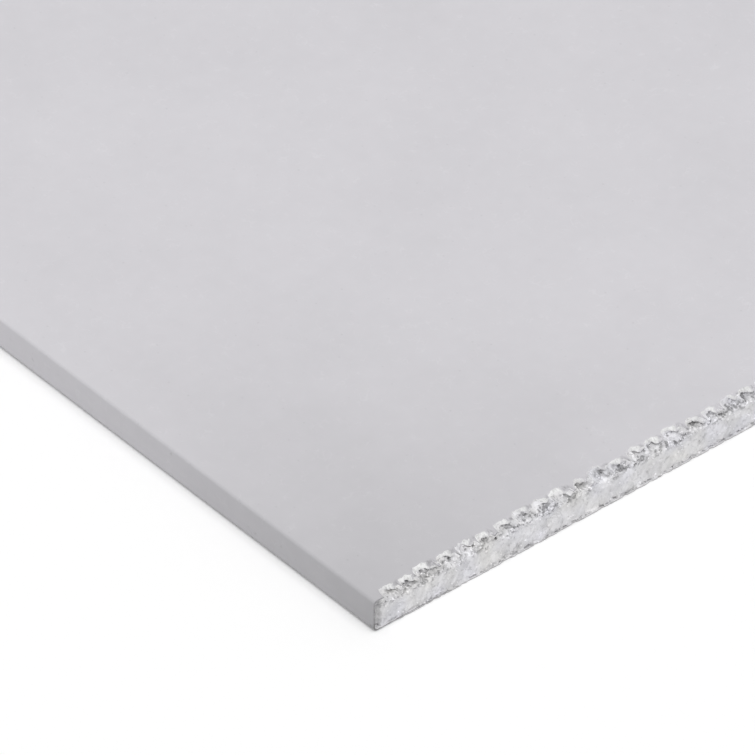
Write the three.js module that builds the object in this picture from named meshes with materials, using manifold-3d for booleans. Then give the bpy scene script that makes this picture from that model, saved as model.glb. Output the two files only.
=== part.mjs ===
// A full sheet of tapered-edge drywall, lying on its back with the face up.
//
// It is three bonded pieces. A foamed gypsum core carries a face paper, which runs over the front,
// round both long edges and a little way under the back. A back paper covers the back and laps over
// those two flaps. Both ends were cut across by a toothed knife that came in through the face, so a
// row of chipped bites runs along the top of each cut.
//
// Millimetres. X runs along the sheet, Y across it and Z up from the floor to the face. The origin is
// the middle of the back, on the floor.
import * as THREE from "three";
import { mergeVertices } from "three/addons/utils/BufferGeometryUtils.js";
import Module from "manifold-3d";

// The sheet
const sheetLength = 2438.4;
const sheetWidth = 1219.2;
const sheetThickness = 12.7;

// The papers and the starch glue between each layer and the next
const facePaper = 0.35;
const backPaper = 0.3;
const glueLine = 0.05;
const flapWidth = 28; // face paper folded under the back, from the long edge
const backPaperInset = 10; // bare flap between the long edge and the back paper

// The long edges: the face dips towards them, so that tape and filler finish flush
const taperWidth = 60;
const taperDepth = 1.3;
const taperBlend = 400; // radius of the soft bend where the taper starts
const arrisRadius = 1; // bend of the paper from the face down the edge
const heelRadius = 1.2; // bend of the paper from the edge under the back

// The knife's bites at the cut ends: each is half a cone, with its axis on the cut
const toothPitch = 7.3;
const biteRadius = 4.3; // of the chipped mouth in the face
const biteDepth = 2.8; // below the face, where the bite runs out on the cut

// How finely curves are faceted
const bendSteps = 2; // pairs of facets in each bend of the paper
const biteFacets = 10; // facets of a whole cone, half of which show in the sheet
const cutterRise = 1; // the cutter's height above the face

const faceColour = "#cfcfd2";
const backColour = "#b5a994";
const coreColour = "#ecebe6";

const wasm = await Module();
wasm.setup();

// ---------------------------------------------------------------- the section across the sheet

const halfWidth = sheetWidth / 2;
const flapOutside = backPaper + glueLine; // height of the flap's underside
const taperAngle = Math.atan2(taperDepth, taperWidth);
const taperStart = halfWidth - taperWidth;

/** Height of the face at a distance y from the middle of the sheet, without the bend at the arris. */
function faceHeight(y) {
  const onTaper = Math.max(0, Math.abs(y) - taperStart);
  return sheetThickness - onTaper * Math.tan(taperAngle);
}

/**
 * The outline from the start of one taper, down over the long edge and back in under the sheet, as
 * points (y, z). It runs inset under the face paper's outer surface and stops at y = stopAt.
 */
function edgeOutline(inset, stopAt) {
  const bendMiddle = taperStart - taperBlend * Math.tan(taperAngle / 2);
  const arrisMiddle = halfWidth - arrisRadius;
  const arrisHeight = faceHeight(arrisMiddle) - arrisRadius / Math.cos(taperAngle);
  const heelMiddle = halfWidth - heelRadius;
  const heelHeight = flapOutside + heelRadius;
  const upright = Math.PI / 2;
  const path = new THREE.Path();
  path.absarc(bendMiddle, sheetThickness - taperBlend, taperBlend - inset, upright, upright - taperAngle, true);
  path.absarc(arrisMiddle, arrisHeight, arrisRadius - inset, upright - taperAngle, 0, true);
  path.absarc(heelMiddle, heelHeight, heelRadius - inset, 0, -upright, true);
  path.lineTo(stopAt, flapOutside + inset);
  return path.getPoints(bendSteps);
}

/** The same points on the other side of the sheet's middle, in the opposite order. */
function mirrored(points) {
  return points.map((p) => new THREE.Vector2(-p.x, p.y)).reverse();
}

/** The face paper's section: a thin C, open under the sheet between its two flaps. */
function facePaperSection() {
  const flapEnd = halfWidth - flapWidth;
  const outside = edgeOutline(0, flapEnd);
  const inside = edgeOutline(facePaper, flapEnd).reverse();
  return new THREE.Shape([...mirrored(outside), ...outside, ...inside, ...mirrored(inside)]);
}

/** The core's section: it fills the face paper and drops past the flaps' ends to the back paper. */
function coreSection() {
  const flapEnd = halfWidth - flapWidth - glueLine;
  const outline = edgeOutline(facePaper + glueLine, flapEnd);
  outline.push(new THREE.Vector2(flapEnd, flapOutside));
  return new THREE.Shape([...mirrored(outline), ...outline]);
}

/** The back paper's section: a flat strip that stops short of both long edges. */
function backPaperSection() {
  const edge = halfWidth - backPaperInset;
  const strip = [
    new THREE.Vector2(-edge, 0),
    new THREE.Vector2(edge, 0),
    new THREE.Vector2(edge, backPaper),
    new THREE.Vector2(-edge, backPaper),
  ];
  return new THREE.Shape(strip);
}

/** A section in (y, z) run along X for the whole length of the sheet. */
function alongSheet(section) {
  const run = new THREE.ExtrudeGeometry(section, { depth: sheetLength, bevelEnabled: false, steps: 1 });
  const across = new THREE.Vector3(0, 1, 0);
  const up = new THREE.Vector3(0, 0, 1);
  const along = new THREE.Vector3(1, 0, 0);
  run.applyMatrix4(new THREE.Matrix4().makeBasis(across, up, along));
  return run.translate(-sheetLength / 2, 0, 0);
}

// ---------------------------------------------------------------- solids to cut with and back

/** A closed three.js geometry as a manifold solid. */
function solid(geometry) {
  const bare = geometry.clone();
  bare.deleteAttribute("normal");
  bare.deleteAttribute("uv");
  const merged = mergeVertices(bare);
  const vertProperties = merged.attributes.position.array;
  const triVerts = new Uint32Array(merged.index.array);
  return new wasm.Manifold(new wasm.Mesh({ numProp: 3, vertProperties, triVerts }));
}

/** A manifold solid as a flat-shaded three.js geometry. */
function geometryOf(shape) {
  const { vertProperties, triVerts } = shape.getMesh();
  const geometry = new THREE.BufferGeometry();
  geometry.setAttribute("position", new THREE.BufferAttribute(vertProperties, 3));
  geometry.setIndex(new THREE.BufferAttribute(triVerts, 1));
  const faceted = geometry.toNonIndexed();
  faceted.computeVertexNormals();
  return faceted;
}

// ---------------------------------------------------------------- the knife's bites

/** The cone of one tooth, point down on the cut at (x, y), with a facet square to the sheet's length. */
function biteCone(x, y) {
  const height = biteDepth + cutterRise;
  const topRadius = (biteRadius * height) / biteDepth;
  const cone = new THREE.ConeGeometry(topRadius / Math.cos(Math.PI / biteFacets), height, biteFacets);
  cone.rotateX(-Math.PI / 2); // its point, up +Y as made, now down -Z
  cone.rotateZ(Math.PI / 2 + Math.PI / biteFacets); // a facet, not a corner, on the X axis
  return cone.translate(x, y, faceHeight(y) - biteDepth + height / 2);
}

/** Every bite of both cut ends, as one cutter. */
function knifeBites() {
  const teeth = Math.floor((sheetWidth - 2 * arrisRadius) / toothPitch);
  const bites = [];
  for (const cut of [-sheetLength / 2, sheetLength / 2]) {
    for (let tooth = 0; tooth < teeth; tooth++) {
      const y = (tooth - (teeth - 1) / 2) * toothPitch;
      bites.push(solid(biteCone(cut, y)));
    }
  }
  return bites.reduce((all, bite) => all.add(bite));
}

// ---------------------------------------------------------------- the sheet

function piece(name, geometry, colour, roughness) {
  const material = new THREE.MeshStandardMaterial({ color: colour, roughness, metalness: 0 });
  const mesh = new THREE.Mesh(geometry, material);
  mesh.name = name;
  return mesh;
}

const bites = knifeBites();
const core = solid(alongSheet(coreSection())).subtract(bites);
const face = solid(alongSheet(facePaperSection())).subtract(bites);

const sheet = new THREE.Group();
sheet.add(piece("gypsum_core", geometryOf(core), coreColour, 0.95));
sheet.add(piece("face_paper", geometryOf(face), faceColour, 0.85));
sheet.add(piece("back_paper", alongSheet(backPaperSection()), backColour, 0.9));

export default sheet;
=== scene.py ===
import math

import bpy
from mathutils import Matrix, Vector


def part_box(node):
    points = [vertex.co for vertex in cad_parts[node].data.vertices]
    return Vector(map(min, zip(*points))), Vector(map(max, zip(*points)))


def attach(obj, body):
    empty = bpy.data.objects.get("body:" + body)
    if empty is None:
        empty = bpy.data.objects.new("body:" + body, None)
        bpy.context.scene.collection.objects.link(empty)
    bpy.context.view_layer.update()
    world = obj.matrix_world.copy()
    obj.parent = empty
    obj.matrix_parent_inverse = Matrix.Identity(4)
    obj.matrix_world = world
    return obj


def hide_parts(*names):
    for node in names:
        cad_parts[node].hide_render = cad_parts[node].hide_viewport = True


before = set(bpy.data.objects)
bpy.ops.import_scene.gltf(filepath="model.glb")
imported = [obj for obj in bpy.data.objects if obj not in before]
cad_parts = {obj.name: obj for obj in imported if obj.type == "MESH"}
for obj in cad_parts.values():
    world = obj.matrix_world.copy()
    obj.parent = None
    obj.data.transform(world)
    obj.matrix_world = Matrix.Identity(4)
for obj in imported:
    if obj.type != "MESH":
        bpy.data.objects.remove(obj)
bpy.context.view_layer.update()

# ---------------------------------------------------------------- the gypsum core
# Foamed gypsum, poured wet between the two papers and set hard, thinner along both long edges. A
# toothed knife chops the board to length through its face: each tooth bites the top rim of the cut,
# and the gypsum crumbles out under the bites and breaks rough below them.

mm = 0.001
half_length, half_width, face_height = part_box("face_paper")[1]
core_low, core_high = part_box("gypsum_core")
flap_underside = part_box("face_paper")[0].z
core_inset = face_height - core_high.z  # face paper and glue line together

taper_width = 60 * mm
taper_depth = 1.3 * mm
taper_blend = 400 * mm
arris_radius = 1 * mm
heel_radius = 1.2 * mm
flap_width = 28 * mm
taper_slope = math.atan2(taper_depth, taper_width)
upright = math.pi / 2

close_reach = 150 * mm  # from the near long edge, the stretch with the finest mesh
close_step = 0.32 * mm
far_step = 1.2 * mm
fewest_bend_steps = 8
rim_stretch = 3.2 * mm  # of the cut below the face, with the closest rows
back_stretch = 1.2 * mm  # of the cut above the back paper
rim_rows, middle_rows, back_rows = 14, 16, 4
same_turn = 1e-6
same_place = 1e-9

tooth_pitch = 7.3 * mm
bite_radius = 4.3 * mm
bite_depth = 2.8 * mm
tooth_count = math.floor(2 * (half_width - arris_radius) / tooth_pitch)


def bend(y, z, radius, start, end):
    """Points (y, z, facing) round one bend of the outside, from one facing angle to another."""
    steps = max(fewest_bend_steps, math.ceil(radius * abs(end - start) / close_step))
    turns = [start + (end - start) * step / steps for step in range(steps + 1)]
    return [(y + radius * math.cos(turn), z + radius * math.sin(turn), turn) for turn in turns]


def outside():
    """The board's outside in section: from one flap's end, round the long edges, to the other's."""
    blend_y = half_width - taper_width - taper_blend * math.tan(taper_slope / 2)
    arris_drop = (taper_width - arris_radius) * math.tan(taper_slope)
    arris_drop += arris_radius / math.cos(taper_slope)
    arris_y = half_width - arris_radius
    right = [(0.0, face_height, upright)]
    right += bend(blend_y, face_height - taper_blend, taper_blend, upright, upright - taper_slope)
    right += bend(arris_y, face_height - arris_drop, arris_radius, upright - taper_slope, 0)
    right += bend(half_width - heel_radius, flap_underside + heel_radius, heel_radius, 0, -upright)
    right.append((half_width - flap_width, flap_underside, -upright))
    left = [(-y, z, math.pi - turn) for y, z, turn in reversed(right[1:])]
    return subdivided(left + right)


def subdivided(points):
    """The same points, with more set along each flat stretch, closest near the near long edge."""
    filled = []
    for (y, z, turn), (next_y, next_z, next_turn) in zip(points, points[1:]):
        filled.append((y, z, turn))
        length = math.hypot(next_y - y, next_z - z)
        flat = abs(math.sin((next_turn - turn) / 2)) < same_turn
        along = 0.0
        while flat:
            here = y + (next_y - y) * along / length
            step = close_step if here < close_reach - half_width else far_step
            along += step
            if along > length - step / 2:
                break
            share = along / length
            filled.append((y + (next_y - y) * share, z + (next_z - z) * share, turn))
    return filled + [points[-1]]


def core_bottom(y):
    """Height of the core's underside: on the back paper, or higher up on the folded flaps."""
    inner_radius = heel_radius - core_inset
    past_heel = abs(y) - (half_width - heel_radius)
    if past_heel > 0:
        return flap_underside + heel_radius - math.sqrt(max(inner_radius ** 2 - past_heel ** 2, 0))
    return flap_underside + core_inset if abs(y) > half_width - flap_width else core_low.z


def core_loops():
    """One loop for each place across the board: up one cut end, along the top, down the other."""
    loops = []
    for outer_y, outer_z, turn in outside():
        if math.sin(turn) < -same_turn:
            continue
        y = outer_y - core_inset * math.cos(turn)
        top = outer_z - core_inset * math.sin(turn)
        bottom = core_bottom(y)
        middle = top - bottom - rim_stretch - back_stretch
        heights = [bottom + back_stretch * row / back_rows for row in range(back_rows)]
        heights += [bottom + back_stretch + middle * row / middle_rows for row in range(middle_rows)]
        heights += [top - rim_stretch * row / rim_rows for row in range(rim_rows, -1, -1)]
        rise = [(-half_length, y, z) for z in heights]
        fall = [(half_length, y, z) for z in reversed(heights)]
        if loops and y - loops[-1][0][1] < same_place:
            if top < loops[-1][len(rise) - 1][2]:
                continue
            loops.pop()  # still climbing the first long edge
        loops.append(rise + fall)
    return loops


def loft(name, loops):
    """A closed body through a row of loops of points, its first and last loop filled in."""
    size = len(loops[0])
    points = [point for loop in loops for point in loop]
    faces = [tuple(reversed(range(size))), tuple(range(len(points) - size, len(points)))]
    for start in range(0, len(points) - size, size):
        for place in range(size):
            after = (place + 1) % size
            faces.append((start + place, start + after, start + size + after, start + size + place))
    mesh = bpy.data.meshes.new(name)
    mesh.from_pydata(points, [], faces)
    body = bpy.data.objects.new(name, mesh)
    bpy.context.scene.collection.objects.link(body)
    return body


def operation(kind):
    """A method that adds a Math node of that kind to its field's tree."""
    return lambda field, *others: field.math(kind, *others)


class Field:
    """A value that varies over a mesh or a surface. Arithmetic on it adds Math nodes to its tree."""

    def __init__(self, socket):
        self.socket = socket

    def math(self, kind, *others):
        """The field of a new Math node, fed with this field and the others."""
        node = self.socket.id_data.nodes.new("ShaderNodeMath")
        node.operation = kind
        for place, value in zip(node.inputs, (self, *others)):
            feed(place, value)
        return Field(node.outputs[0])

    __add__ = __radd__ = operation("ADD")
    __mul__ = __rmul__ = operation("MULTIPLY")
    __sub__ = operation("SUBTRACT")
    __truediv__ = operation("DIVIDE")
    __pow__ = operation("POWER")
    __abs__ = operation("ABSOLUTE")
    least = operation("MINIMUM")
    most = operation("MAXIMUM")

    def __neg__(self):
        return self * -1.0

    def __rsub__(self, other):
        return -self + other

    def __rtruediv__(self, other):
        return self ** -1.0 * other

    def share(self):
        """The value held between 0 and 1."""
        return self.most(0.0).least(1.0)

    def near(self, reach, hold=1.0):
        """1 where this distance is 0, fading to 0. A hold over 1 keeps it at 1 for longer."""
        return (hold - self / reach).share()

    def past(self, reach, delay=0.0):
        """0 where this distance is 0, rising to 1 over the reach, after a delay of so many reaches."""
        rise = self / reach
        return (rise - delay if delay else rise).share()

    def over(self, level, sharpness):
        """Patches of 1 where this value is over the level, on 0, with borders of that sharpness."""
        return ((self - level) * sharpness).share()

    def at_least(self, least):
        """This share spread over the stretch from the least to 1."""
        return least + self * (1.0 - least)

    def blend(self, other, amount):
        """This value where the amount is 0, the other where it is 1."""
        return self + (other - self) * amount


def feed(place, value):
    """Link a field to a socket, or write a plain value on it."""
    if isinstance(value, Field):
        place.id_data.links.new(value.socket, place)
    else:
        place.default_value = value


def add_node(tree, kind, inputs=(), **settings):
    """A new node with its settings, and its inputs fed by name."""
    node = tree.nodes.new(kind)
    for name, value in settings.items():
        setattr(node, name, value)
    for name, value in dict(inputs).items():
        feed(node.inputs[name], value)
    return node


def place_at(tree, x, y, z):
    """Three fields or numbers as one vector field."""
    return Field(add_node(tree, "ShaderNodeCombineXYZ", {"X": x, "Y": y, "Z": z}).outputs[0])


def split(vector):
    """The three fields of a vector field."""
    node = add_node(vector.socket.id_data, "ShaderNodeSeparateXYZ", {"Vector": vector})
    return [Field(out) for out in node.outputs]


def noise(where, size, detail, seed):
    """Smooth noise round 0.5, with lumps of about that size."""
    inputs = {"Vector": where, "W": seed, "Scale": 1 / size, "Detail": detail}
    node = add_node(where.socket.id_data, "ShaderNodeTexNoise", inputs, noise_dimensions="4D")
    return Field(node.outputs["Fac"])


def unevenness(where, size, detail, seed):
    """The same noise round 0."""
    return noise(where, size, detail, seed) - 0.5


def new_tree(kind, name, inputs, outputs):
    """An empty node tree with named sockets, the fields of its inputs, and its output node."""
    tree = bpy.data.node_groups.new(name, kind)
    for label, value in inputs.items():
        type_name = value if isinstance(value, str) else "Float"
        socket = tree.interface.new_socket(label, in_out="INPUT", socket_type="NodeSocket" + type_name)
        if type_name == "Float":
            socket.default_value = value
    for label, type_name in outputs.items():
        tree.interface.new_socket(label, in_out="OUTPUT", socket_type="NodeSocket" + type_name)
    start = tree.nodes.new("NodeGroupInput")
    given = {label: Field(start.outputs[label]) for label in inputs}
    return tree, given, tree.nodes.new("NodeGroupOutput")


def bite_group():
    """The teeth's bites at a place across the board, below its face and in from the cut.

    Setback is how far a bite reaches in at that depth, Dip how deep it is at that distance in, Aside
    the distance from the middle of the nearest tooth and Luck a number of that tooth's own.
    """
    sizes = {"Across": 0.0, "Depth": 0.0, "Inwards": 0.0, "End": 1.0, "Pitch": tooth_pitch,
             "Teeth": float(tooth_count), "Radius": bite_radius, "Bite depth": bite_depth,
             "Squareness": 3.6, "Wander": 0.2, "Uneven width": 0.3, "Uneven depth": 0.4, "Wobble": 0.35}
    results = {"Setback": "Float", "Dip": "Float", "Aside": "Float", "Luck": "Float"}
    tree, given, out = new_tree("GeometryNodeTree", "Knife bite", sizes, results)
    square = given["Squareness"]
    row = given["Across"] / given["Pitch"] + given["Teeth"] * 0.5
    along_cut = place_at(tree, given["Across"], given["End"], 0.0)
    wobble = unevenness(along_cut, size=1.5 * mm, detail=2.0, seed=17.0)
    least_radius = 0.01 * mm
    bites = []
    for neighbour in (-1, 0, 1):
        tooth = row.math("FLOOR") + neighbour
        its_place = place_at(tree, tooth, given["End"], 0.0)
        its_own = add_node(tree, "ShaderNodeTexWhiteNoise", {"Vector": its_place})
        shift, widen, deepen = [part - 0.5 for part in split(Field(its_own.outputs["Color"]))]
        on_row = tooth.math("GREATER_THAN", -0.5) * tooth.math("LESS_THAN", given["Teeth"] - 0.5)
        aside = (row - tooth - 0.5 + shift * given["Wander"]) * given["Pitch"]
        off = abs(aside) ** square
        unevenly = 1.0 + widen * given["Uneven width"] + wobble * given["Wobble"]
        radius = given["Radius"] * unevenly * on_row
        deep = given["Bite depth"] * (1.0 + deepen * given["Uneven depth"])
        at_depth = (radius * given["Depth"].near(deep)) ** square
        reach = (at_depth - off).most(0.0) ** (1.0 / square)
        spread = (off + given["Inwards"].most(0.0) ** square) ** (1.0 / square)
        closeness = 1.0 - spread / radius.most(least_radius)
        luck = Field(its_own.outputs["Value"])
        bites.append((closeness, reach, deep * closeness.most(0.0), aside, luck))
    closest, setback, dip, nearest_aside, luck = bites[0]
    for closeness, reach, dipped, aside, its_luck in bites[1:]:
        closer = closeness.math("GREATER_THAN", closest)
        closest, setback, dip = closest.most(closeness), setback.most(reach), dip.most(dipped)
        nearest_aside, luck = nearest_aside.blend(aside, closer), luck.blend(its_luck, closer)
    for name, value in zip(results, (setback, dip, nearest_aside, luck)):
        feed(out.inputs[name], value)
    return tree


knife_bite = bite_group()


def cut_place(tree):
    """A point of a cut end: across, up, which end, how far in from the cut and below the face."""
    x, y, z = split(Field(add_node(tree, "GeometryNodeInputPosition").outputs[0]))
    onto_taper = (abs(y) - (half_width - taper_width)).most(0.0)
    depth = face_height - onto_taper * math.tan(taper_slope) - z
    return y, z, x.math("SIGN"), half_length - abs(x), depth


def bite_at(tree, across, end, **place):
    """The bite group's results at a place, by name."""
    group = add_node(tree, "GeometryNodeGroup", node_tree=knife_bite)
    for name, value in {"Across": across, "End": end, **place}.items():
        feed(group.inputs[name], value)
    return {result.name: Field(result) for result in group.outputs}


def kept(tree, geometry, **fields):
    """The geometry with fields written on its points, for its material to read."""
    for name, value in fields.items():
        inputs = {"Geometry": geometry, "Name": name, "Value": value}
        geometry = Field(add_node(tree, "GeometryNodeStoreNamedAttribute", inputs).outputs[0])
    return geometry


def moved_to(tree, geometry, position):
    """The geometry with its points set there."""
    inputs = {"Geometry": geometry, "Position": position}
    return Field(add_node(tree, "GeometryNodeSetPosition", inputs).outputs[0])


def along_drag(tree, x, y, z):
    """A place stretched along the marks that the knife drags down the cut, leaning over."""
    lean = math.radians(58)
    squeeze = 0.16  # along a mark, which makes it about six times as long as wide
    down_mark = y * math.cos(lean) + z * math.sin(lean)
    over_mark = y * -math.sin(lean) + z * math.cos(lean)
    return place_at(tree, x, down_mark * squeeze, over_mark)


def finished(tree, geometry, material):
    """The geometry made real and given its material, as the last steps of a tree."""
    real = add_node(tree, "GeometryNodeRealizeInstances", {"Geometry": geometry})
    inputs = {"Geometry": Field(real.outputs[0]), "Material": material}
    return Field(add_node(tree, "GeometryNodeSetMaterial", inputs).outputs[0])


def break_tree():
    """Breaks a core's straight-cut ends: bites, slots under them, chips, drag marks and grooves.

    A relief or a depth is how far in the break goes, a middle how far below the face it lies, and a
    tone how dark its painted shade, and at the foot its stain, leave the gypsum.
    """
    sizes = {"Core": "Geometry", "Ragged": 1.7 * mm, "Backing": 0.4 * mm, "Backed height": 1.4 * mm,
             "Stray": 1.6 * mm, "Chip relief": 0.6 * mm, "Lump relief": 0.9 * mm,
             "Grain relief": 0.5 * mm, "Drag relief": 0.5 * mm, "Drift": 1.8 * mm,
             "Slot aside": 0.3 * mm, "Slot width": 2.9 * mm, "Slot middle": 2.2 * mm,
             "Slot height": 0.75 * mm, "Slot depth": 0.45 * mm, "Painted shade aside": 0.4 * mm,
             "Painted shade width": 3.7 * mm, "Painted shade middle": 1.7 * mm, "Painted shade height": 1.4 * mm,
             "Spot depth": 0.5 * mm, "Crumble middle": 2.6 * mm, "Crumble height": 1.9 * mm,
             "Crumble relief": 1.3 * mm, "Hole depth": 0.8 * mm, "Foot height": 0.7 * mm,
             "Foot rise": 2.2 * mm, "Foot setback": 0.2 * mm, "Gap width": 0.3 * mm,
             "Gap rise": 0.9 * mm, "Groove depth": 0.8 * mm, "Side width": 1.2 * mm,
             "Side rise": 2.6 * mm, "Side edge": 0.8 * mm, "Side groove": 1.0 * mm,
             "Broken middle": 2.4 * mm, "Broken foot": 1.5 * mm, "Least setback": 0.02 * mm}
    tones = {"Painted shade tone": 0.22, "Spot tone": 0.5, "Crumble tone": 0.8, "Slot tone": 0.4,
             "Hole tone": 0.45, "Groove tone": 0.4, "Side tone": 0.4, "Side holes": 0.2,
             "Side mottle": 0.06, "Tucked tone": 0.35, "Stain and shade tone": 0.12, "Foot breakage": 0.7}
    tree, given, out = new_tree("GeometryNodeTree", "Break the cut ends", {**sizes, **tones},
                                {"Core": "Geometry"})
    y, z, end, _, depth = cut_place(tree)
    flat = place_at(tree, end, y, z)  # the same break at every distance in
    along_cut = place_at(tree, end, y, 0.0)  # and the same at every height
    below_paper = (depth - core_inset).most(0.0)
    above_back = z - core_low.z

    # the paper still backs the gypsum at the rim, so the bites are smallest there
    ragged = unevenness(flat, size=1.7 * mm, detail=2.0, seed=13.0)
    ragged = ragged * below_paper.past(1 * mm) * given["Ragged"]
    backed = below_paper.near(given["Backed height"]) * given["Backing"]
    bite = bite_at(tree, y, end, Depth=below_paper + ragged + backed)
    aside, luck = bite["Aside"], bite["Luck"]

    # chips: broken plates, each at its own level, with wandering borders
    chip_size = 4.2 * mm
    chip_squash = 1.3
    stray = noise(flat, size=2.2 * mm, detail=2.0, seed=3.0) * given["Stray"]
    chip_place = place_at(tree, end, y + stray, (z + stray) * chip_squash)
    chips = add_node(tree, "ShaderNodeTexVoronoi", {"Vector": chip_place, "Scale": 1 / chip_size})
    chip_level = split(Field(chips.outputs["Color"]))[0]

    # lumps, grain and the knife's drag marks, each measured from a level of its own
    lump_level, grain_level, drag_level = 0.35, 0.4, 0.45
    lumps = noise(flat, size=6 * mm, detail=2.0, seed=8.0) - lump_level
    grain = noise(flat, size=0.8 * mm, detail=3.0, seed=5.0) - grain_level
    drags = noise(along_drag(tree, end, y, z), size=1.2 * mm, detail=1.0, seed=11.0) - drag_level

    # under each bite the gypsum has crumbled out in a slot, a little to the side the tooth leans to
    slot_fill, slot_sharpness, slot_raggedness = 0.9, 2.2, 6.0
    drift = unevenness(along_cut, size=2.6 * mm, detail=2.0, seed=27.0) * given["Drift"]
    across_slot = (aside - given["Slot aside"]) / given["Slot width"]
    down_slot = (depth - given["Slot middle"] + drift) / given["Slot height"]
    slot_edge = unevenness(flat, size=1.2 * mm, detail=2.0, seed=21.0) * slot_raggedness
    slot = (slot_fill - across_slot ** 2.0 - down_slot ** 2.0) * slot_sharpness + slot_edge
    hollow = slot.share() * luck.at_least(0.5) * below_paper.past(0.5 * mm, delay=1.4)

    # round the slots a broad patch of painted shade, with shallow spots in it
    painted_shade_sharpness, painted_shade_mottle, painted_shade_drift = 1.8, 0.35, 0.6
    across_painted_shade = (aside - given["Painted shade aside"]) / given["Painted shade width"]
    down_painted_shade = (depth - given["Painted shade middle"] + drift * painted_shade_drift) / given["Painted shade height"]
    painted_shade = (1.0 - across_painted_shade ** 2.0 - down_painted_shade ** 2.0) * painted_shade_sharpness + slot_edge * painted_shade_mottle
    painted_shade = painted_shade.share() * luck.at_least(0.6)
    spots = noise(flat, size=1.9 * mm, detail=1.5, seed=25.0).over(0.49, sharpness=9.0)
    spots = spots * painted_shade * below_paper.past(1 * mm, delay=0.7)

    # and full of small holes
    crumbled = abs(depth - given["Crumble middle"]).near(given["Crumble height"], hold=1.3)
    crumbled = crumbled * below_paper.past(0.7 * mm, delay=0.6)
    holes = noise(flat, size=1.5 * mm, detail=1.5, seed=23.0).over(0.56, sharpness=12.0)
    holes = holes * crumbled
    lumpy = unevenness(flat, size=1.3 * mm, detail=2.5, seed=51.0) * crumbled

    # its foot breaks away under it as the knife comes through, deeper here and there
    foot_noise = noise(along_cut, size=3.5 * mm, detail=2.0, seed=37.0)
    foot = above_back.near(given["Foot height"] + foot_noise * given["Foot rise"])
    # the gypsum there is darker in patches, partly a starchy stain and partly painted shade
    stain_and_shade = noise(flat, size=3.6 * mm, detail=3.0, seed=53.0).over(0.45, sharpness=6.0)
    stain_and_shade = stain_and_shade * (foot * 2.0).share()
    gap_noise = noise(along_cut, size=2.0 * mm, detail=3.0, seed=31.0)
    groove = above_back.near(given["Gap width"] + gap_noise * given["Gap rise"], hold=1.15)
    gaps = noise(flat, size=1.4 * mm, detail=2.0, seed=33.0).over(0.52, sharpness=10.0)
    groove = groove * gaps

    # and so does its side, close in behind the folded paper
    side_gap = core_high.y - abs(y)
    side_noise = noise(flat, size=1.8 * mm, detail=3.0, seed=35.0)
    side_width = given["Side width"] + side_noise * given["Side rise"]
    side_groove = (side_width - side_gap).past(given["Side edge"])
    tucked = side_gap.near(given["Side edge"], hold=2.0)

    # the break is roughest in the bites, and plain against the papers
    bite_roughness, foot_start, rim_start, rim_rate = 0.5, 0.3, 0.2, 0.6
    rough = chip_level * given["Chip relief"] + lumps.most(0.0) * given["Lump relief"]
    rough = rough + grain * given["Grain relief"] + drags * given["Drag relief"]
    in_bites = 1.0 + bite["Setback"] / bite_radius * bite_roughness
    off_foot = (above_back / mm + foot_start).share()
    off_rim = (below_paper / mm * rim_rate + rim_start).share()
    rough = rough.most(0.0) * in_bites * off_foot * off_rim + lumpy * given["Crumble relief"]
    setback = bite["Setback"] + rough + hollow * given["Slot depth"] + holes * given["Hole depth"]
    setback = setback + groove * given["Groove depth"] + side_groove * given["Side groove"]
    setback = setback + foot * given["Foot setback"] + spots * given["Spot depth"]

    # painted shade in its slots, holes, spots, deeper lumps and grooves and close behind the papers,
    # with a stain at the foot, and the rest is marked as cut clean or broken
    dark = painted_shade * given["Painted shade tone"] + spots * given["Spot tone"] + lumpy * given["Crumble tone"]
    dark = dark.most(hollow * given["Slot tone"]).most(holes * given["Hole tone"])
    dark = dark * below_paper.past(0.9 * mm, delay=0.5)
    side_tone = given["Side tone"] + holes * given["Side holes"] + slot_edge * given["Side mottle"]
    dark = dark + groove * given["Groove tone"] + side_groove * side_tone
    dark = dark + tucked * given["Tucked tone"] + stain_and_shade * given["Stain and shade tone"]
    broken = abs(depth - given["Broken middle"]).near(given["Crumble height"], hold=1.5)
    broken = broken * below_paper.past(0.6 * mm, delay=0.4)
    broken = broken.most(above_back.near(given["Broken foot"], hold=1.3) * given["Foot breakage"])
    marked = kept(tree, given["Core"], hollow=dark.share(), chip=chip_level, broken=broken)
    inwards = setback.most(given["Least setback"])
    moved = moved_to(tree, marked, place_at(tree, end * (half_length - inwards), y, z))
    feed(out.inputs["Core"], finished(tree, moved, gypsum))
    return tree


def shaped(body, tree, sizes=()):
    """Run a geometry tree over a body and keep the result as its plain mesh."""
    modifier = body.modifiers.new(tree.name, "NODES")
    modifier.node_group = tree
    for socket in tree.interface.items_tree:
        if socket.in_out == "INPUT" and socket.name in dict(sizes):
            modifier[socket.identifier] = dict(sizes)[socket.name]
    layout = bpy.context.evaluated_depsgraph_get()
    made = body.evaluated_get(layout)
    mesh = bpy.data.meshes.new_from_object(made, preserve_all_data_layers=True, depsgraph=layout)
    body.modifiers.remove(modifier)
    body.data = mesh
    return body


def smooth(body, sharp_degrees):
    """Shade a body smooth except over edges sharper than that."""
    body.data.shade_smooth()
    body.data.set_sharp_from_angle(angle=math.radians(sharp_degrees))


def fit(body, node):
    """Put a finished body in place of its CAD node, on the board."""
    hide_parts(node)
    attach(body, "root")


def new_material(name, roughness):
    """A matt node material, with its tree, its Principled shader and its Object coordinates."""
    dull_specular = 0.25
    material = bpy.data.materials.new(name)
    material.use_nodes = True
    tree = material.node_tree
    shader = tree.nodes["Principled BSDF"]
    shader.inputs["Roughness"].default_value = roughness
    shader.inputs["Specular IOR Level"].default_value = dull_specular
    return material, tree, shader, Field(add_node(tree, "ShaderNodeTexCoord").outputs["Object"])


def shade_of(tree, colour, shade):
    """A colour made lighter or darker by a field around 1."""
    node = add_node(tree, "ShaderNodeVectorMath", operation="SCALE")
    feed(node.inputs[0], colour)
    feed(node.inputs["Scale"], shade)
    return Field(node.outputs[0])


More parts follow.
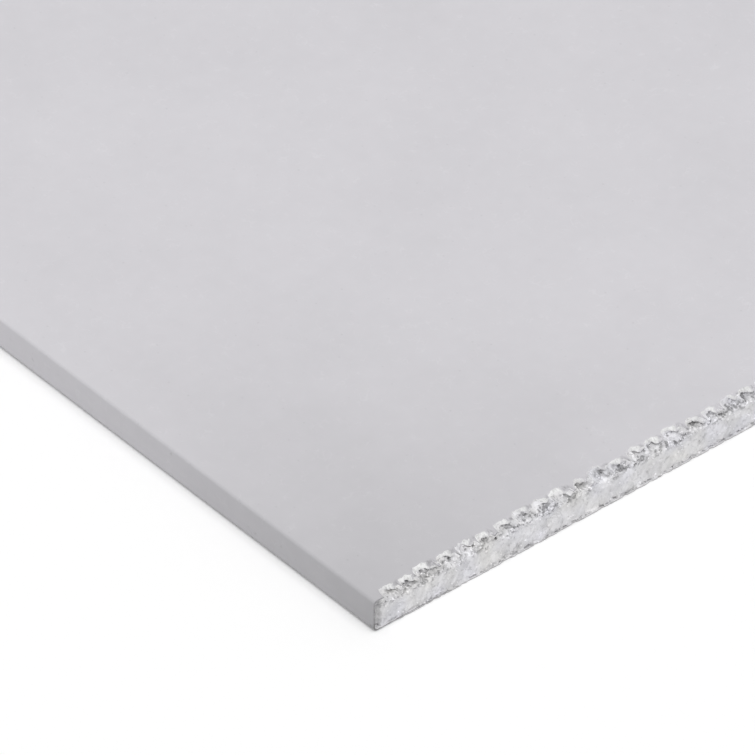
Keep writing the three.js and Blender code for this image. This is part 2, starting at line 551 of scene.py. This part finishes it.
def mixed(tree, amount, start, end):
    """One colour where the amount is 0, another where it is 1."""
    node = add_node(tree, "ShaderNodeMix", data_type="RGBA")
    sockets = {socket.identifier: socket for socket in (*node.inputs, *node.outputs)}
    feed(sockets["Factor_Float"], amount)
    feed(sockets["A_Color"], start)
    feed(sockets["B_Color"], end)
    return Field(sockets["Result_Color"])


def attribute(tree, name):
    """A field that the geometry trees have kept on the points."""
    return Field(add_node(tree, "ShaderNodeAttribute", attribute_name=name).outputs["Fac"])


def bump(tree, height, distance):
    """The normal of a surface with that relief."""
    return Field(add_node(tree, "ShaderNodeBump", {"Height": height, "Distance": distance}).outputs[0])


def gypsum_material():
    """White, chalky and matt, faintly mottled, with bubbles, and painted shade deep in its hollows.

    Where it has broken it is full of small craters with painted shade in them, and fresh white flecks
    between them.
    """
    material, tree, shader, where = new_material("gypsum", roughness=0.95)
    x, y, z = split(where)
    blotch = noise(where, size=3.4 * mm, detail=3.0, seed=2.0)
    fine = noise(where, size=0.7 * mm, detail=3.0, seed=4.0)
    inward_squeeze = 0.3
    streak_place = along_drag(tree, x * inward_squeeze, y, z)
    streak = noise(streak_place, size=1.3 * mm, detail=2.0, seed=8.0)
    pit = noise(where, size=0.6 * mm, detail=1.0, seed=14.0).over(0.64, sharpness=12.0)
    bubble_spacing, bubble_sharpness = 0.9 * mm, 3.2
    bubbles = add_node(tree, "ShaderNodeTexVoronoi", {"Vector": where, "Scale": 1 / bubble_spacing})
    hole = (1.0 - Field(bubbles.outputs["Distance"]) * bubble_sharpness).share()

    blotch_tone, fine_tone, streak_tone = 0.42, 0.1, 0.3
    chip_tone, hole_tone, pit_tone = 0.14, 0.06, 0.1
    shade = 1.0 + (blotch - 0.5) * blotch_tone + (fine - 0.5) * fine_tone
    shade = shade + (streak - 0.5) * streak_tone + (attribute(tree, "chip") - 0.5) * chip_tone
    # painted shade in the bubbles and the pits
    shade = shade - hole * hole_tone - pit * pit_tone

    # painted shade in the hollows and grooves, with some stain at the foot, darkest in patches
    hollow_tone, deep_tone, deep_reach = 0.62, 0.38, 2.5
    hollow = attribute(tree, "hollow")
    deep = noise(where, size=2.4 * mm, detail=1.0, seed=71.0).over(0.53, sharpness=12.0)
    deep = deep * (hollow * deep_reach).share()
    shade = shade * (1.0 - hollow * hollow_tone) * (1.0 - deep * deep_tone)

    # craters darkened with painted shade, and fresh flecks, each mostly in clusters of its own
    crater_level, fresh_level, break_sharpness = 0.55, 0.54, 10.0
    crater_tone, fresh_tone, crumbly_share = 0.48, 0.19, 0.5
    cluster = unevenness(where, size=4.5 * mm, detail=1.0, seed=63.0) * 0.5
    crumbly = noise(where, size=5.0 * mm, detail=1.0, seed=67.0).over(0.5, sharpness=7.0)
    broken = attribute(tree, "broken").most(crumbly * crumbly_share)
    crater = noise(where, size=1.2 * mm, detail=1.5, seed=61.0) - crater_level + cluster
    crater = (crater * break_sharpness).share() * broken
    fresh = noise(where, size=1.3 * mm, detail=1.5, seed=57.0) - fresh_level - cluster
    fresh = (fresh * break_sharpness).share() * broken
    shade = shade * (1.0 - crater * crater_tone) + fresh * fresh_tone

    cool_white = (0.763, 0.76, 0.796, 1)
    warm_white = (0.774, 0.765, 0.76, 1)
    warm = noise(where, size=9 * mm, detail=1.0, seed=6.0).over(0.35, sharpness=3.0)
    white = mixed(tree, warm, cool_white, warm_white)
    feed(shader.inputs["Base Color"], shade_of(tree, white, shade))
    relief = 0.13 * mm  # of the fine grain and the pits, with the rest as shares of it
    blotch_rise, streak_rise, hole_dip, crater_dip = 0.6, 0.8, 0.5, 1.5
    height = fine + blotch * blotch_rise + streak * streak_rise
    height = height - hole * hole_dip - pit - crater * crater_dip
    feed(shader.inputs["Normal"], bump(tree, height, relief))
    return material


gypsum = gypsum_material()
core = shaped(loft("gypsum_core_body", core_loops()), break_tree())
smooth(core, sharp_degrees=32)
fit(core, "gypsum_core")

# ---------------------------------------------------------------- the crumbs
# Broken gypsum that still clings to the cut ends: small sharp grains, thickest round the hollows that
# they fell from. They are the core's own stuff.


def stored(tree, name):
    """A field that an earlier tree has kept on the points."""
    node = add_node(tree, "GeometryNodeInputNamedAttribute", {"Name": name})
    return Field(node.outputs["Attribute"])


def of_face(tree, field):
    """The field's value in the middle of each face."""
    node = add_node(tree, "GeometryNodeFieldOnDomain", {"Value": field}, domain="FACE")
    return Field(node.outputs["Value"])


def chance(tree, low, high, seed):
    """A random number for each point, or a random vector where low and high are vectors."""
    several = not isinstance(low, float)
    node = add_node(tree, "FunctionNodeRandomValue", data_type="FLOAT_VECTOR" if several else "FLOAT")
    sockets = {socket.identifier: socket for socket in node.inputs}
    ending = "" if several else "_001"
    feed(sockets["Min" + ending], low)
    feed(sockets["Max" + ending], high)
    feed(node.inputs["Seed"], seed)
    results = {socket.identifier: socket for socket in node.outputs}
    return Field(results["Value" + ending])


def scattered(tree, base, on, density, grain, rotation, scale, material, **marks):
    """Copies of a grain on points of a mesh, held inside the board, marked and in their material."""
    spread = {"Mesh": base, "Selection": on, "Density": density, "Seed": 3}
    points = add_node(tree, "GeometryNodeDistributePointsOnFaces", spread, distribute_method="RANDOM")
    placing = {"Points": Field(points.outputs["Points"]), "Instance": grain, "Rotation": rotation,
               "Scale": scale}
    copies = add_node(tree, "GeometryNodeInstanceOnPoints", placing)
    real = add_node(tree, "GeometryNodeRealizeInstances", {"Geometry": Field(copies.outputs[0])})
    x, y, z = split(Field(add_node(tree, "GeometryNodeInputPosition").outputs[0]))
    x = x.most(-half_length).least(half_length)
    y = y.most(-half_width).least(half_width)
    held = place_at(tree, x, y, z.most(0.0).least(face_height))
    copies = kept(tree, moved_to(tree, Field(real.outputs[0]), held), **marks)
    return finished(tree, copies, material)


def crumb_tree():
    """Scatters crumbs over a broken core's ends, with shares of the full density by place."""
    sizes = {"Core": "Geometry", "Density": 4.6e5, "Size": 0.66 * mm, "Reach in": 7 * mm,
             "Rim middle": 2.6 * mm, "Rim height": 2.4 * mm, "Foot height": 1.2 * mm,
             "Everywhere": 0.15, "Hollow loss": 0.75, "At the foot": 0.8}
    tree, given, out = new_tree("GeometryNodeTree", "Scatter crumbs", sizes, {"Crumbs": "Geometry"})
    _, z, _, inwards, depth = cut_place(tree)
    on_end = of_face(tree, inwards).math("LESS_THAN", given["Reach in"])
    near_rim = abs(depth - given["Rim middle"]).near(given["Rim height"])
    near_rim = near_rim * (1.0 - stored(tree, "hollow") * given["Hollow loss"])
    at_foot = (z - core_low.z).near(given["Foot height"]) * given["At the foot"]
    density = given["Density"] * (given["Everywhere"] + near_rim + at_foot)
    grain = add_node(tree, "GeometryNodeMeshIcoSphere", {"Radius": 1.0, "Subdivisions": 1})
    whole_turn = (math.tau, math.tau, math.tau)
    turn = chance(tree, low=(0.0, 0.0, 0.0), high=whole_turn, seed=1)
    shape = chance(tree, low=(0.45, 0.45, 0.45), high=(1.0, 1.0, 1.0), seed=2)
    small_bias = 1.6  # over 1, which leaves more small crumbs than large
    size = chance(tree, low=0.35, high=1.0, seed=4) ** small_bias * given["Size"]
    brightest_chip = 1.5
    made = scattered(tree, given["Core"], on_end, density, Field(grain.outputs[0]), turn,
                     shade_of(tree, shape, size), gypsum, hollow=0.0, chip=brightest_chip)
    feed(out.inputs["Crumbs"], made)
    return tree


def scattering(name, base, tree):
    """Make a separate body with a tree that scatters grains over a finished body's mesh."""
    body = bpy.data.objects.new(name, base.data.copy())
    bpy.context.scene.collection.objects.link(body)
    shaped(body, tree)
    if body.data.materials[0] is None:  # the grain's own empty one
        body.data.materials.pop(index=0)
    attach(body, "root")


scattering("gypsum_crumbs", core, crumb_tree())

# ---------------------------------------------------------------- the face paper
# One web of grey paper over the face, bent round both long edges and folded a little way under the
# back. Starch bonds it to the core. At the cut ends each tooth of the knife presses it down into its
# bite and tears it off there, which bares its white inner plies.

paper_thickness = 0.35 * mm
# how far in from a cut end, in millimetres, a paper has its rows of points: outside and inside
face_margins = (0, 0.2, 0.45, 0.75, 1.1, 1.5, 1.9, 2.3, 2.8, 3.4, 4.2, 5.2, 7, 10, 14)
under_margins = (0, 0.75, 1.5, 2.3, 3.4, 5.2, 14)


def web(name, points, thickness):
    """A flat or folded paper's body, its points marked 1 inside and 0 outside."""
    loops = sheet_loops(points, thickness)
    body = loft(name, loops)
    inner = [0.0] * 2 * len(face_margins) + [1.0] * 2 * len(under_margins)
    body.data.attributes.new("inner", "FLOAT", "POINT").data.foreach_set("value", inner * len(loops))
    return body


def sheet_loops(points, thickness):
    """One loop for each place across a paper: out along its outside, back along its inside."""
    out_x = [-half_length + margin * mm for margin in face_margins]
    out_x += [half_length - margin * mm for margin in reversed(face_margins)]
    back_x = [half_length - margin * mm for margin in under_margins]
    back_x += [-half_length + margin * mm for margin in reversed(under_margins)]
    loops = []
    for y, z, turn in points:
        inner_y = y - thickness * math.cos(turn)
        inner_z = z - thickness * math.sin(turn)
        loops.append([(x, y, z) for x in out_x] + [(x, inner_y, inner_z) for x in back_x])
    return loops


def tear_tree(material):
    """Tears a paper's straight-cut ends along the bites and presses what is left down into them."""
    sizes = {"Paper": "Geometry", "Torn from": 0.55 * mm, "Tear": 0.9 * mm, "Ply bevel": 0.5 * mm,
             "Fray": 0.5 * mm, "Ragged": 0.8 * mm, "Scuff": 0.25 * mm, "Thickness": paper_thickness,
             "Fade": 12 * mm, "Face side": 1 * mm, "Lean": 0.3 * mm, "Lean width": 2 * mm,
             "Lean hold": 0.3, "Bite edge": 0.8 * mm, "Pull": 0.4 * mm, "Scuff depth": 0.5 * mm,
             "Smear and shade width": 1.6 * mm, "Heart aside": 0.9 * mm, "Heart stray": 1.4 * mm,
             "Heart width": 4.0 * mm, "Flayed from": 1.1 * mm, "Flayed fade": 1 * mm,
             "Rim": 0.25 * mm, "Rim tear": 0.45}
    tree, given, out = new_tree("GeometryNodeTree", "Tear the cut ends", sizes, {"Paper": "Geometry"})
    y, z, end, inwards, depth = cut_place(tree)
    in_face = depth.math("LESS_THAN", given["Face side"])
    here = bite_at(tree, y, end)
    leant = (here["Aside"] + given["Lean"]).past(given["Lean width"])  # the side the tooth leans to
    least_torn = 0.5
    torn_from = given["Torn from"] * (least_torn + here["Luck"])
    torn_off = bite_at(tree, y, end, Depth=torn_from)["Setback"]
    torn_off = torn_off * (1.0 - leant * given["Lean hold"]) * in_face
    in_bite = torn_off.past(given["Bite edge"])
    top_ply = depth.near(given["Thickness"])

    # the edge that is left: frayed, torn in the bites with its plies apart, ragged off the face
    along_cut = place_at(tree, end, y, 0.0)
    tear = noise(along_cut, size=1.8 * mm, detail=3.0, seed=41.0).over(0.35, sharpness=2.4)
    least_bevel = 0.4
    bevel = least_bevel + noise(along_cut, size=0.9 * mm, detail=2.0, seed=45.0)
    bevel = bevel * given["Ply bevel"] * top_ply
    fray = noise(place_at(tree, end, y, z), size=0.5 * mm, detail=3.0, seed=43.0) * given["Fray"]
    ragged = unevenness(along_cut, size=2.4 * mm, detail=3.0, seed=47.0).most(0.0)
    ragged = ragged * given["Ragged"] * (1.0 - in_face)
    edge = torn_off + (bevel - tear * given["Tear"]) * in_bite + fray + ragged
    kept_in = inwards + edge.most(0.0) * inwards.near(given["Fade"])
    pressed = bite_at(tree, y, end, Inwards=kept_in)
    dip, aside, luck = pressed["Dip"], pressed["Aside"], pressed["Luck"]

    # the tooth flays the paper white where it pulls it down, and on the side it leans to leaves it
    # darker, partly a knife mark and partly painted shade
    pulled = dip.past(given["Pull"]) * in_face
    scuffed = bite_at(tree, y, end, Inwards=kept_in, Radius=bite_radius + given["Scuff"])["Dip"]
    scuffed = scuffed.past(given["Scuff depth"]) * in_face
    heart_aside = aside + given["Heart aside"] + (luck - 0.5) * given["Heart stray"]
    heart = (1.0 - (heart_aside / given["Heart width"]) ** 2.0).share()
    least_flayed, flayed_spread = 0.55, 0.6
    flayed = scuffed * heart * (least_flayed + luck * flayed_spread)
    flayed = flayed * (kept_in - given["Flayed from"]).past(given["Flayed fade"])
    rim = inwards.near(given["Rim"])
    torn = flayed.most(rim * in_bite * given["Rim tear"])
    smeared = pulled * (aside + given["Lean"]).past(given["Smear and shade width"])
    bared = rim * (1.0 - in_bite)
    marked = kept(tree, given["Paper"], torn=torn, smeared=smeared, bared=bared, tip=rim * in_bite)
    left_at = place_at(tree, end * (half_length - kept_in), y, z - dip * in_face)
    moved = moved_to(tree, marked, left_at)
    feed(out.inputs["Paper"], finished(tree, moved, material))
    return tree


def paper_group():
    """Paper's make-up, as shade and height: soft clouds, mottling, curled fibres, specks, painted shade
    and wear.
    """
    sizes = {"Vector": "Vector", "Cloud": 0.03, "Mottle": 0.03, "Fibre": 0.03, "Speck": 0.1,
             "Grime": 0.1, "Edge grime": 0.1}
    results = {"Shade": "Float", "Height": "Float", "Grime": "Float"}
    tree, given, out = new_tree("ShaderNodeTree", "Paper formation", sizes, results)
    where = given["Vector"]
    cloud = unevenness(where, size=45 * mm, detail=3.0, seed=1.0)
    mottle = unevenness(where, size=5 * mm, detail=4.0, seed=2.0)

    # fibres: thin ridges of the noise, left only in patches
    ridge_sharpness = 34.0
    patch_size = 1.7  # in fibre sizes
    fibre = None
    for seed, size in ((3.0, 3.6 * mm), (4.0, 2.4 * mm)):
        ridge = 1.0 - abs(unevenness(where, size, detail=1.0, seed=seed)) * ridge_sharpness
        patch = noise(where, size * patch_size, detail=1.0, seed=seed + 5.0)
        strand = ridge.share() * patch.over(0.56, sharpness=12.0)
        fibre = fibre + strand if fibre else strand

    speck_spacing, speck_sharpness = 4 * mm, 8.0
    dots = add_node(tree, "ShaderNodeTexVoronoi", {"Vector": where, "Scale": 1 / speck_spacing})
    chosen = split(Field(dots.outputs["Color"]))[0]
    speck = (1.0 - Field(dots.outputs["Distance"]) * speck_sharpness).share() * chosen

    # painted shade round the sheet's corners, in broad uneven patches and strongest on its long edges,
    # which also get a little painted shade all along
    corner_shade_reach, foot_dark_reach = 170 * mm, 3 * mm
    side_tone, foot_dark_tone, rubbed_tone = 0.02, 0.7, 0.35
    x, y, z = split(where)
    from_side = half_width - abs(y)
    from_corner = ((half_length - abs(x)) ** 2.0 + from_side ** 2.0) ** 0.5
    on_side = from_side.near(1.0 * mm, hold=1.2)
    least_shade_patches, shade_patch_spread, corner_shade_fade = 0.75, 0.5, 1.6
    shade_patches = least_shade_patches + noise(where, size=22 * mm, detail=3.0, seed=12.0) * shade_patch_spread
    corner_shade = from_corner.near(corner_shade_reach) ** corner_shade_fade * shade_patches
    # darker at the very foot of each corner, in ragged patches
    from_foot = (from_corner ** 2.0 + z ** 2.0) ** 0.5
    foot_dark_hold, foot_dark_raggedness = 1.2, 1.5
    foot_dark_noise = unevenness(where, size=1.1 * mm, detail=2.0, seed=15.0) * foot_dark_raggedness
    foot_dark = (foot_dark_hold - from_foot / foot_dark_reach + foot_dark_noise).share()
    # and patches of rubbed wear along the long edges
    rubbed = noise(where, size=3.2 * mm, detail=2.0, seed=19.0).over(0.67, sharpness=9.0)
    shade_and_wear = corner_shade * (given["Grime"] + on_side * given["Edge grime"]) + on_side * side_tone
    shade_and_wear = shade_and_wear + foot_dark * foot_dark_tone + rubbed * on_side * rubbed_tone
    feed(out.inputs["Grime"], shade_and_wear.share())

    shade = 1.0 + cloud * given["Cloud"] + mottle * given["Mottle"]
    feed(out.inputs["Shade"], shade + fibre * given["Fibre"] - speck * given["Speck"])
    tooth = noise(where, size=0.45 * mm, detail=3.0, seed=9.0)
    fibre_rise, tooth_rise = 0.5, 0.6  # against the mottle's
    feed(out.inputs["Height"], mottle + fibre * fibre_rise + tooth * tooth_rise)
    return tree


paper_formation = paper_group()


def paper_material(name, colour, torn_colour, end_shade, relief, **strengths):
    """Matt board paper in its own colour, paler where its plies are torn open."""
    material, tree, shader, where = new_material(name, roughness=0.85)
    formation = add_node(tree, "ShaderNodeGroup", node_tree=paper_formation)
    feed(formation.inputs["Vector"], where)
    for socket, value in strengths.items():
        feed(formation.inputs[socket.replace("_", " ")], value)
    shade, height, shade_and_wear = [Field(socket) for socket in formation.outputs]
    x, y, z = split(where)
    inward_squeeze, upward_squeeze = 0.5, 0.3
    streak_place = place_at(tree, x * inward_squeeze, y, z * upward_squeeze)
    streaks = unevenness(streak_place, size=0.5 * mm, detail=3.0, seed=7.0)
    tatters = unevenness(where, size=1.5 * mm, detail=2.0, seed=17.0)

    # the torn plies come out white, in tatters
    torn_reach, torn_delay, tatter_reach, streak_reach = 1.5, 0.5, 1.8, 0.9
    torn_sharpness, torn_start = 3.0, 8.0
    torn = attribute(tree, "torn")
    whitened = torn * torn_reach - torn_delay + tatters * tatter_reach + streaks * streak_reach
    torn = (whitened * torn_sharpness).share() * (torn * torn_start).share()

    # gypsum dust clings to the paper's inside, but the cut edge beside the long edge stays clean
    inner = attribute(tree, "inner")
    bared = attribute(tree, "bared")
    beside = (half_width - abs(y)).near(1 * mm, hold=1.5)
    dust_reach, dust_delay, dust_raggedness, dust_start, clean_reach = 2.5, 1.5, 4.5, 4.0, 2.0
    dust = (inner * dust_reach - dust_delay + tatters * dust_raggedness).share()
    dust = dust * (inner * dust_start - 1.0).share()
    dust = dust * (1.0 - bared * beside * end_shade * clean_reach)

    # a grey for the painted shade round the corners and along the long edges, and for rubbed wear
    shade_and_wear_grey = (0.352, 0.35, 0.358, 1)
    dust_white = (0.735, 0.73, 0.745, 1)
    colour = mixed(tree, shade_and_wear, colour, shade_and_wear_grey)
    colour = mixed(tree, torn, colour, torn_colour)
    colour = mixed(tree, dust, colour, dust_white)

    # it is darker where the tooth has pressed it into the bite on the side it leans to, partly a knife
    # mark and partly painted shade, along the bared cut edge and between the tatters
    smear_and_shade_tone, bared_tone, tatter_tone = 0.17, 1.15, 0.8
    smear = smear_and_shade_tone + (streaks + tatters)
    shade = shade * (1.0 - attribute(tree, "smeared") * (1.0 - torn) * smear)
    least_patchy, patch_level, patch_sharpness = 0.6, 0.42, 3.5
    patchy = noise(where, size=1.7 * mm, detail=2.0, seed=29.0)
    patchy = (least_patchy + (patchy - patch_level) * patch_sharpness).share()
    shade = shade * (1.0 - bared * (1.0 - dust) * end_shade * patchy * bared_tone)
    least_shaded, torn_rise = 0.1, 3.0
    shade = shade * (1.0 - (least_shaded + streaks + tatters).share() * torn * tatter_tone)
    feed(shader.inputs["Base Color"], shade_of(tree, colour, shade))
    height = height + (streaks + tatters) * torn * torn_rise
    feed(shader.inputs["Normal"], bump(tree, height, relief))
    return material


face_colour = (0.641, 0.629, 0.658, 1)
white_plies = (0.86, 0.86, 0.86, 1)
# the face gets painted shade round its corners and along its long edges
face_grey = paper_material("face_paper", face_colour, white_plies, end_shade=0.4, relief=0.02 * mm,
                           Cloud=0.12, Mottle=0.06, Fibre=0.04, Speck=0.12, Grime=0.48, Edge_grime=0.12)
face = shaped(web("face_paper_web", outside(), paper_thickness), tear_tree(face_grey))
smooth(face, sharp_degrees=35)
fit(face, "face_paper")

# ---------------------------------------------------------------- the torn fibres
# White shreds of the face paper's inner plies, drawn out by the teeth. They stay fast to the torn
# edge in each bite and point out of the cut and a little down.


def shred_tree():
    """Sets shreds along a torn paper's edge."""
    sizes = {"Paper": "Geometry", "Density": 3.0e5, "Length": 1.1 * mm, "Width": 0.28 * mm,
             "Tip from": 0.4}
    tree, given, out = new_tree("GeometryNodeTree", "Draw out shreds", sizes, {"Shreds": "Geometry"})
    end = cut_place(tree)[2]
    on_tip = stored(tree, "tip").math("GREATER_THAN", given["Tip from"])
    density = given["Density"] * stored(tree, "tip")
    spike = add_node(tree, "GeometryNodeMeshCone",
                     {"Vertices": 4, "Radius Top": 0.0, "Radius Bottom": 1.0, "Depth": 1.0})
    sideways = chance(tree, low=-0.9, high=0.9, seed=5)
    upwards = chance(tree, low=-1.1, high=0.1, seed=6)
    out_of_cut = place_at(tree, end, sideways, upwards)
    turn = add_node(tree, "FunctionNodeAlignRotationToVector", {"Vector": out_of_cut}, axis="Z")
    width = given["Width"] * chance(tree, low=0.4, high=1.0, seed=7)
    flattened = width * chance(tree, low=0.3, high=1.0, seed=8)
    length = given["Length"] * chance(tree, low=0.25, high=1.0, seed=9)
    stretch = place_at(tree, width, flattened, length)
    made = scattered(tree, given["Paper"], on_tip, density, Field(spike.outputs["Mesh"]),
                     Field(turn.outputs[0]), stretch, face_grey, torn=1.0)
    feed(out.inputs["Shreds"], made)
    return tree


scattering("face_paper_shreds", face, shred_tree())

# ---------------------------------------------------------------- the back paper
# A flat web of coarser, duller recycled paper over the back. It stops short of the long edges and is
# glued over the face paper's flaps. The knife leaves its end fuzzy but almost straight.

back_low, back_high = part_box("back_paper")


def back_points():
    """The back paper's underside in section, facing down."""
    return subdivided([(back_high.y, back_low.z, -upright), (back_low.y, back_low.z, -upright)])


back_colour = (0.465, 0.457, 0.455, 1)
pale_plies = (0.62, 0.61, 0.61, 1)
back_grey = paper_material("back_paper", back_colour, pale_plies, end_shade=0.0, relief=0.03 * mm,
                           Cloud=0.12, Mottle=0.12, Fibre=0.07, Speck=0.2, Grime=0.1, Edge_grime=0.0)
back = web("back_paper_web", back_points(), back_high.z)
shaped(back, tear_tree(back_grey), {"Ragged": 2.2 * mm, "Fray": 0.25 * mm})
smooth(back, sharp_degrees=35)
fit(back, "back_paper")

# ---------------------------------------------------------------- floor, light and camera
# A plain white floor, one broad soft lamp high up and a white surround. The camera looks down on the
# corner between a long edge and a cut end, from far off through a long lens.

floor_half = 60.0
floor_drop = 0.1 * mm  # below the sheet
floor_grey = 0.9
surround = 0.5  # the light that the white surround gives, while it shows white itself
sun_level = 0.5
sun_lean_x, sun_lean_y = 0.3, -0.12
sun_spread = math.radians(50)


def seen_directly(tree):
    """1 where the camera sees the surface, straight or in a gloss, and 0 for the light it gives."""
    path = add_node(tree, "ShaderNodeLightPath")
    straight, gloss, through = ("Is Camera Ray", "Is Glossy Ray", "Is Transmission Ray")
    seen = Field(path.outputs[straight]).most(Field(path.outputs[gloss]))
    return seen.most(Field(path.outputs[through]))


def white_floor():
    """A white floor with the sheet's shadow on it, clear when seen from below."""
    corners = [(-1, -1), (1, -1), (1, 1), (-1, 1)]
    mesh = bpy.data.meshes.new("floor")
    points = [(x * floor_half, y * floor_half, -floor_drop) for x, y in corners]
    mesh.from_pydata(points, [], [(0, 1, 2, 3)])
    floor = bpy.data.objects.new("floor", mesh)
    bpy.context.scene.collection.objects.link(floor)
    material, tree, shader, _ = new_material("white floor", roughness=1.0)
    shader.inputs["Base Color"].default_value = (floor_grey, floor_grey, floor_grey, 1)
    shader.inputs["Emission Color"].default_value = (1, 1, 1, 1)
    feed(shader.inputs["Emission Strength"], seen_directly(tree) * (1 - floor_grey))
    through = add_node(tree, "ShaderNodeBsdfTransparent")
    backfacing = Field(add_node(tree, "ShaderNodeNewGeometry").outputs["Backfacing"])
    sides = add_node(tree, "ShaderNodeMixShader", {"Fac": backfacing})
    feed(sides.inputs[1], Field(shader.outputs[0]))
    feed(sides.inputs[2], Field(through.outputs[0]))
    feed(tree.nodes["Material Output"].inputs["Surface"], Field(sides.outputs[0]))
    floor.data.materials.append(material)


def white_surround():
    """White all round, giving less light than it shows."""
    world = bpy.data.worlds.new("surround")
    bpy.context.scene.world = world
    world.use_nodes = True
    tree = world.node_tree
    background = tree.nodes["Background"]
    background.inputs["Color"].default_value = (1, 1, 1, 1)
    feed(background.inputs["Strength"], seen_directly(tree) * (1 - surround) + surround)


def soft_sun():
    """A broad lamp, high up and to one side."""
    towards = Vector((sun_lean_x, sun_lean_y, 1.0))
    lamp = bpy.data.lights.new("soft sun", "SUN")
    lamp.energy = sun_level * math.pi * towards.length
    lamp.angle = sun_spread
    sun = bpy.data.objects.new("soft sun", lamp)
    sun.rotation_mode = "QUATERNION"
    sun.rotation_quaternion = towards.to_track_quat("Z", "Y")
    bpy.context.scene.collection.objects.link(sun)


def corner_camera():
    """A long lens that looks down on the sheet's near corner, which it sets low in the frame."""
    azimuth, elevation = math.radians(49.7), math.radians(39.16)
    distance = 5.0
    frame_width = 219.2 * mm
    aim_right, aim_up = 0.81 * mm, 74.16 * mm  # from the corner to the middle of the frame
    back = Vector((math.sin(azimuth) * math.cos(elevation), -math.cos(azimuth) * math.cos(elevation),
                   math.sin(elevation)))
    right = Vector((math.cos(azimuth), math.sin(azimuth), 0))
    up = back.cross(right)
    near_corner = Vector((half_length, -half_width, 0))
    camera = bpy.data.objects.new("camera", bpy.data.cameras.new("camera"))
    bpy.context.scene.collection.objects.link(camera)
    camera.data.lens = camera.data.sensor_width * distance / frame_width
    camera.location = near_corner + right * aim_right + up * aim_up + back * distance
    camera.rotation_mode = "QUATERNION"
    camera.rotation_quaternion = back.to_track_quat("Z", "Y")
    bpy.context.scene.camera = camera


white_floor()
white_surround()
soft_sun()
corner_camera()
bpy.context.scene.view_settings.view_transform = "Standard"
